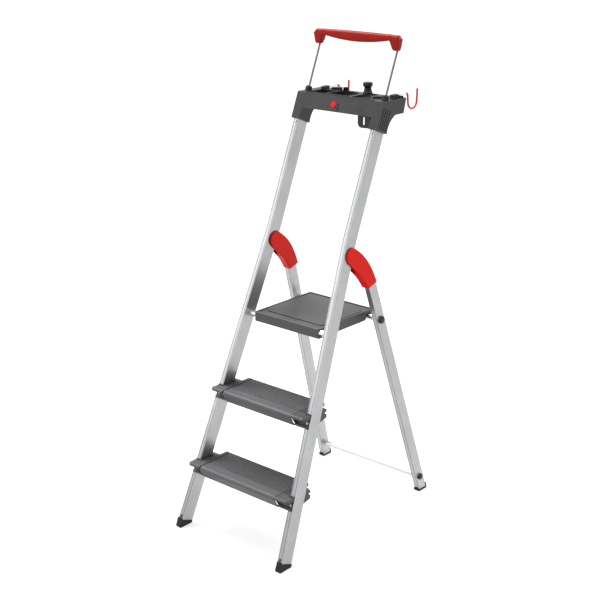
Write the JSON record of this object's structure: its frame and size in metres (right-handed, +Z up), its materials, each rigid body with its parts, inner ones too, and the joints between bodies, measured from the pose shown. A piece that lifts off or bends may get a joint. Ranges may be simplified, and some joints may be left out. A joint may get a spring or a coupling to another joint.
{
  "type": "folding step ladder",
  "caption": "Folding household step ladder with ribbed treads, a fold-up platform, a hinged rear frame, a tool tray with bucket hooks and a pull-out carrying handle.",
  "frame": {"origin": "middle of the footprint, on the floor", "axes": "+Z up, +X to the ladder's right, +Y from the climbing side to the rear frame"},
  "size_m": [0.4262, 0.7154, 1.448],
  "materials": {
    "aluminium": "satin extruded",
    "tube": "drawn tube",
    "tread": "dark grey powder coat",
    "platform_grey": "moulded",
    "tray_charcoal": "fine moulded grain",
    "red_plastic": "satin gloss",
    "red_sleeve": "dipped",
    "foot_rubber": "matt",
    "steel": "bright zinc",
    "rivet": "bright",
    "black_plastic": "moulded"
  },
  "bodies": {
    "front_frame": {"foot_pegs": "black_plastic", "front_foot_left": "foot_rubber", "front_foot_right": "foot_rubber", "hinge_pins": "steel", "hinge_washers": "black_plastic", "hook_sleeve_left": "red_sleeve", "hook_sleeve_right": "red_sleeve", "hook_sockets": "black_plastic", "hook_wire_left": "steel", "hook_wire_right": "steel", "lower_tread": "tread", "lower_tread_cap_left": "black_plastic", "lower_tread_cap_right": "black_plastic", "pivot_tube": "tube", "rod_bush_left": "black_plastic", "rod_bush_right": "black_plastic", "stile_left": "aluminium", "stile_right": "aluminium", "tool_clips": "black_plastic", "tool_tray": "tray_charcoal", "tray_badge": "red_plastic", "tray_holder": "black_plastic", "tray_knob": "black_plastic", "tray_rivets": "rivet", "tread_rivets": "rivet", "upper_tread": "tread", "upper_tread_cap_left": "black_plastic", "upper_tread_cap_right": "black_plastic"},
    "rear_frame": {"hinge_cap_left": "red_plastic", "hinge_cap_right": "red_plastic", "lower_crossbar": "aluminium", "lower_crossbar_caps": "black_plastic", "rear_foot_left": "foot_rubber", "rear_foot_right": "foot_rubber", "rear_leg_left": "aluminium", "rear_leg_right": "aluminium", "upper_crossbar": "aluminium", "upper_crossbar_caps": "black_plastic"},
    "platform": {"platform": "platform_grey", "platform_hooks": "black_plastic"},
    "handle": {"handle_grip": "red_plastic", "handle_rod_left": "steel", "handle_rod_right": "steel"}
  },
  "joints": [
    {"name": "rear_fold", "type": "hinge", "parent": "front_frame", "child": "rear_frame", "pos_m": [0, 0.01788, 0.83823], "axis": [-1, 0, 0], "range_deg": [0, 39]},
    {"name": "platform_fold", "type": "hinge", "parent": "front_frame", "child": "platform", "pos_m": [0, -0.0785, 0.629], "axis": [1, 0, 0], "range_deg": [0, 68]},
    {"name": "handle_slide", "type": "slide", "parent": "front_frame", "child": "handle", "axis": [0, 0.3746, 0.9272], "range_m": [-0.11, 0]}
  ],
  "couplings": [
    {"joint": "platform_fold", "follows": "rear_fold", "ratio": 1.735}
  ]
}
